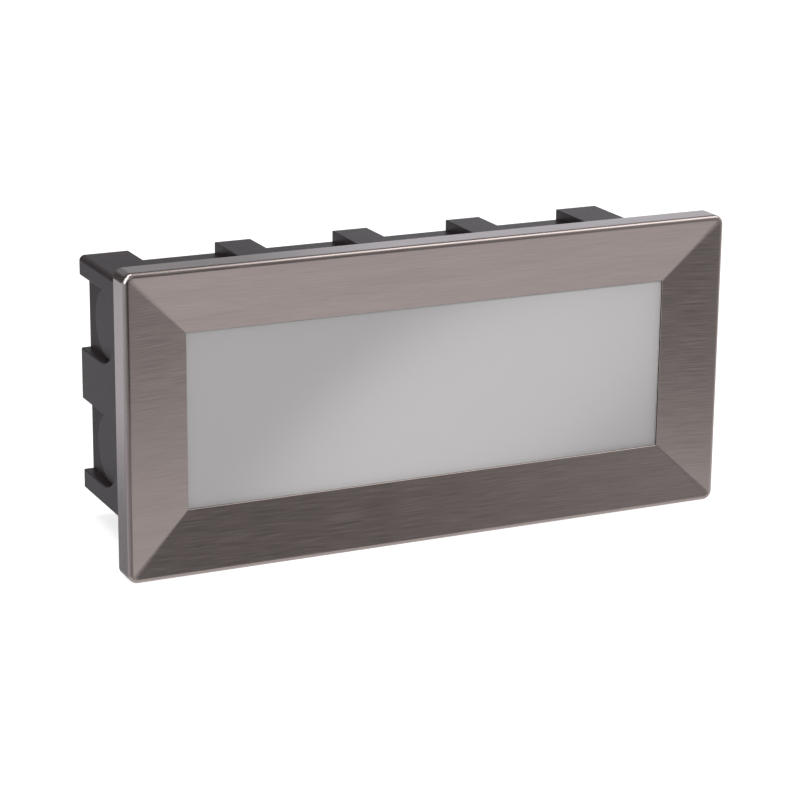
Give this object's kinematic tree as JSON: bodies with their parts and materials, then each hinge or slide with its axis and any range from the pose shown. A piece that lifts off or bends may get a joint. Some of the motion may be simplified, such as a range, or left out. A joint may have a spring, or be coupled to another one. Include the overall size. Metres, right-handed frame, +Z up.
{
  "type": "recessed outdoor wall light",
  "caption": "Recessed wall light: ribbed plastic box built into the brickwork, lamp tray inside it, and a pressed brushed-steel cover with frosted glass that pulls off its spring clips.",
  "frame": {"origin": "centre of the box's mouth, on the face of the wall that the lip rests on", "axes": "+X across the wall, +Y into the wall, +Z up; the light faces -Y"},
  "size_m": [0.23, 0.0751, 0.1084],
  "materials": {
    "brushed_stainless": "pressed stainless sheet, fine straight grain across the width",
    "plain_stainless": "plain turned stainless steel",
    "spring_steel": "rolled stainless spring strip",
    "zinc_plated_steel": "bright zinc plate",
    "rivet_aluminium": "plain drawn aluminium",
    "brass": "plain machined brass",
    "box_plastic": "moulded charcoal plastic, satin",
    "driver_plastic": "moulded black plastic, fine spark texture",
    "terminal_plastic": "moulded natural nylon",
    "reflector_white": "moulded gloss white",
    "tray_paint": "white powder coat",
    "board_coat": "white solder mask on aluminium",
    "lamp_phosphor": "yellow phosphor under clear resin",
    "frosted_glass": "acid-frosted flat glass",
    "clear_silicone": "translucent silicone rubber",
    "seal_foam": "closed-cell foam rubber",
    "black_rubber": "moulded soft rubber",
    "brown_insulation": "brown PVC insulation",
    "blue_insulation": "blue PVC insulation",
    "green_insulation": "green and yellow PVC insulation",
    "white_insulation": "white silicone insulation"
  },
  "bodies": {
    "box": {"mounting_box": "box_plastic", "cable_grommet": "black_rubber", "cord_clamp": "box_plastic", "cord_clamp_screws": "zinc_plated_steel", "terminal_block": "terminal_plastic", "terminal_clamps": "brass", "terminal_screws": "zinc_plated_steel", "terminal_fixings": "zinc_plated_steel", "gear_tray": "tray_paint", "tray_screws": "zinc_plated_steel", "led_board": "board_coat", "leds": "lamp_phosphor", "board_screws": "zinc_plated_steel", "reflector": "reflector_white", "driver_case": "driver_plastic", "driver_lid": "driver_plastic", "driver_screws": "zinc_plated_steel", "earth_tag": "zinc_plated_steel", "earth_screw": "brass", "live_lead": "brown_insulation", "neutral_lead": "blue_insulation", "earth_lead": "green_insulation", "led_leads": "white_insulation"},
    "cover": {"bezel": "brushed_stainless", "weld_studs": "plain_stainless", "stud_nuts": "plain_stainless", "glass_gasket": "clear_silicone", "diffuser_glass": "frosted_glass", "glass_frame": "box_plastic", "frame_seal": "seal_foam", "spring_clips": "spring_steel", "clip_rivets": "rivet_aluminium"}
  },
  "joints": [
    {"name": "cover_pull", "type": "slide", "parent": "box", "child": "cover", "axis": [0, -1, 0], "range_m": [0, 0.038]}
  ]
}
